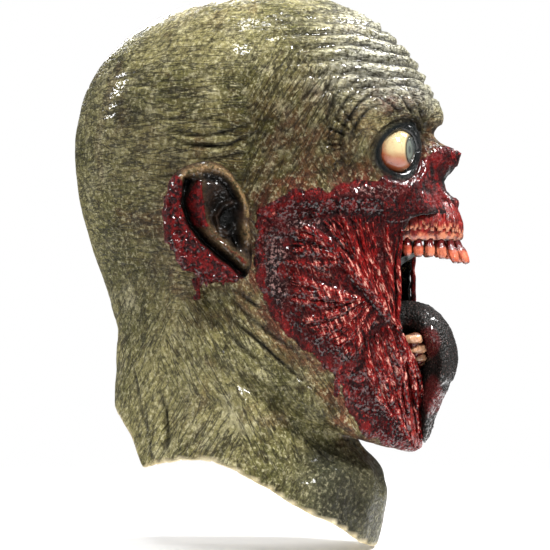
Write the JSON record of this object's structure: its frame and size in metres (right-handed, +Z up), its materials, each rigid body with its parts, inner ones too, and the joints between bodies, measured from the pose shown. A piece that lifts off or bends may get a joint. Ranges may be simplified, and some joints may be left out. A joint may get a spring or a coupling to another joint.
{
  "type": "latex halloween mask",
  "caption": "Full-head latex zombie mask with a wide open mouth, hanging tongue, bared teeth, glossy eyes, torn ears and an open neck with a long front bib.",
  "frame": {"origin": "the inside of the crown, on the middle plane, where the mask rests on top of the wearer's head", "axes": "+Z up, the face looks along -Y, +X towards the wearer's left"},
  "size_m": [0.1914, 0.2595, 0.3575],
  "materials": {
    "skin": "satin",
    "ear": "gloss",
    "muscle": "gloss",
    "gum": "gloss",
    "tooth": "gloss",
    "tongue": "gloss",
    "lining": "gloss",
    "screen": "matte",
    "sclera": "gloss",
    "iris": "gloss",
    "cornea": "clear gloss",
    "cup": "matte"
  },
  "bodies": {
    "mask": {"hood_skin": "skin", "right_ear": "ear", "right_cheek_muscle": "muscle", "right_eyeball": "sclera", "right_iris": "iris", "right_cornea": "cornea", "right_eye_cup": "cup", "left_ear": "ear", "left_cheek_muscle": "muscle", "left_eyeball": "sclera", "left_iris": "iris", "left_cornea": "cornea", "left_eye_cup": "cup", "upper_gum": "gum", "lower_gum": "gum", "upper_tooth_right_1": "tooth", "upper_tooth_right_2": "tooth", "upper_tooth_right_3": "tooth", "upper_tooth_right_4": "tooth", "upper_tooth_right_5": "tooth", "upper_tooth_right_6": "tooth", "upper_tooth_left_1": "tooth", "upper_tooth_left_2": "tooth", "upper_tooth_left_3": "tooth", "upper_tooth_left_4": "tooth", "upper_tooth_left_5": "tooth", "upper_tooth_left_6": "tooth", "lower_tooth_right_1": "tooth", "lower_tooth_right_2": "tooth", "lower_tooth_right_3": "tooth", "lower_tooth_right_4": "tooth", "lower_tooth_left_1": "tooth", "lower_tooth_left_2": "tooth", "lower_tooth_left_3": "tooth", "lower_tooth_left_4": "tooth", "mouth_lining": "lining", "mouth_screen": "screen"},
    "tongue": {"tongue": "tongue"}
  },
  "joints": [
    {"name": "tongue_lift", "type": "hinge", "parent": "mask", "child": "tongue", "pos_m": [0, -0.088, -0.207], "axis": [-1, 0, 0], "range_deg": [0, 14]}
  ]
}
